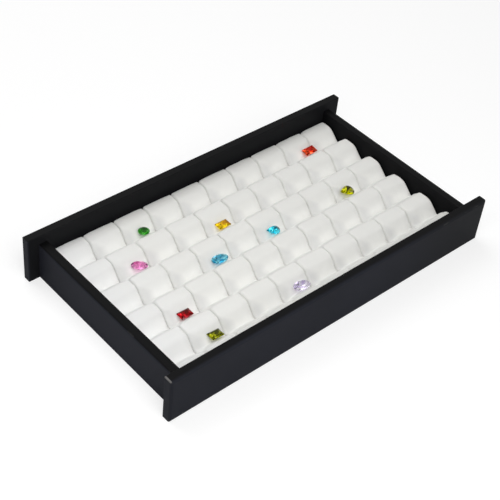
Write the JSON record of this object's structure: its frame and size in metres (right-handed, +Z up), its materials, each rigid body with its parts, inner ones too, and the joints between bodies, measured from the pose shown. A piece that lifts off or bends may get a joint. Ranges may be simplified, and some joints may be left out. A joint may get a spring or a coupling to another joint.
{
  "type": "gem storage case",
  "caption": "Low black tray frame with short ears at its corners, holding a white padded insert with rows of V seats for loose cut stones.",
  "frame": {"origin": "middle of the underside, on the surface that the tray stands on", "axes": "+X along the long boards, +Y to the back, +Z up"},
  "size_m": [0.37, 0.205, 0.047],
  "materials": {
    "black_lacquer": "satin black lacquer",
    "base_board": "black painted hardboard",
    "dowel_wood": "plain beech",
    "brad_steel": "bright steel",
    "grey_card": "grey board",
    "foam": "open foam",
    "white_cover": "soft matt white cover",
    "green_round_stone": "clear cut stone",
    "orange_rectangular_stone": "clear cut stone",
    "pink_oval_stone": "clear cut stone",
    "gold_rectangular_stone": "clear cut stone",
    "blue_oval_stone": "clear cut stone",
    "cyan_pear_stone": "clear cut stone",
    "olive_pear_stone": "clear cut stone",
    "red_rectangular_stone": "clear cut stone",
    "olive_rectangular_stone": "clear cut stone",
    "lilac_oval_stone": "clear cut stone"
  },
  "bodies": {
    "frame": {"front_board": "black_lacquer", "back_board": "black_lacquer", "left_end_board": "black_lacquer", "right_end_board": "black_lacquer", "base_panel": "base_board", "frame_dowels": "dowel_wood", "base_brads": "brad_steel"},
    "insert": {"insert_card": "grey_card", "pad_core_01": "foam", "pad_core_02": "foam", "pad_core_03": "foam", "pad_core_04": "foam", "pad_core_05": "foam", "pad_core_06": "foam", "pad_core_07": "foam", "pad_core_08": "foam", "pad_core_09": "foam", "pad_core_10": "foam", "pad_cover_01": "white_cover", "pad_cover_02": "white_cover", "pad_cover_03": "white_cover", "pad_cover_04": "white_cover", "pad_cover_05": "white_cover", "pad_cover_06": "white_cover", "pad_cover_07": "white_cover", "pad_cover_08": "white_cover", "pad_cover_09": "white_cover", "pad_cover_10": "white_cover"},
    "green_round": {"green_round_stone": "green_round_stone"},
    "orange_rectangular": {"orange_rectangular_stone": "orange_rectangular_stone"},
    "pink_oval": {"pink_oval_stone": "pink_oval_stone"},
    "gold_rectangular": {"gold_rectangular_stone": "gold_rectangular_stone"},
    "blue_oval": {"blue_oval_stone": "blue_oval_stone"},
    "cyan_pear": {"cyan_pear_stone": "cyan_pear_stone"},
    "olive_pear": {"olive_pear_stone": "olive_pear_stone"},
    "red_rectangular": {"red_rectangular_stone": "red_rectangular_stone"},
    "olive_rectangular": {"olive_rectangular_stone": "olive_rectangular_stone"},
    "lilac_oval": {"lilac_oval_stone": "lilac_oval_stone"}
  },
  "joints": [
    {"name": "insert_lift", "type": "slide", "parent": "frame", "child": "insert", "axis": [0, 0, 1], "range_m": [0, 0.05]},
    {"name": "green_round_lift", "type": "slide", "parent": "insert", "child": "green_round", "axis": [0, 0, 1], "range_m": [0, 0.035]},
    {"name": "orange_rectangular_lift", "type": "slide", "parent": "insert", "child": "orange_rectangular", "axis": [0, 0, 1], "range_m": [0, 0.035]},
    {"name": "pink_oval_lift", "type": "slide", "parent": "insert", "child": "pink_oval", "axis": [0, 0, 1], "range_m": [0, 0.035]},
    {"name": "gold_rectangular_lift", "type": "slide", "parent": "insert", "child": "gold_rectangular", "axis": [0, 0, 1], "range_m": [0, 0.035]},
    {"name": "blue_oval_lift", "type": "slide", "parent": "insert", "child": "blue_oval", "axis": [0, 0, 1], "range_m": [0, 0.035]},
    {"name": "cyan_pear_lift", "type": "slide", "parent": "insert", "child": "cyan_pear", "axis": [0, 0, 1], "range_m": [0, 0.035]},
    {"name": "olive_pear_lift", "type": "slide", "parent": "insert", "child": "olive_pear", "axis": [0, 0, 1], "range_m": [0, 0.035]},
    {"name": "red_rectangular_lift", "type": "slide", "parent": "insert", "child": "red_rectangular", "axis": [0, 0, 1], "range_m": [0, 0.035]},
    {"name": "olive_rectangular_lift", "type": "slide", "parent": "insert", "child": "olive_rectangular", "axis": [0, 0, 1], "range_m": [0, 0.035]},
    {"name": "lilac_oval_lift", "type": "slide", "parent": "insert", "child": "lilac_oval", "axis": [0, 0, 1], "range_m": [0, 0.035]}
  ]
}
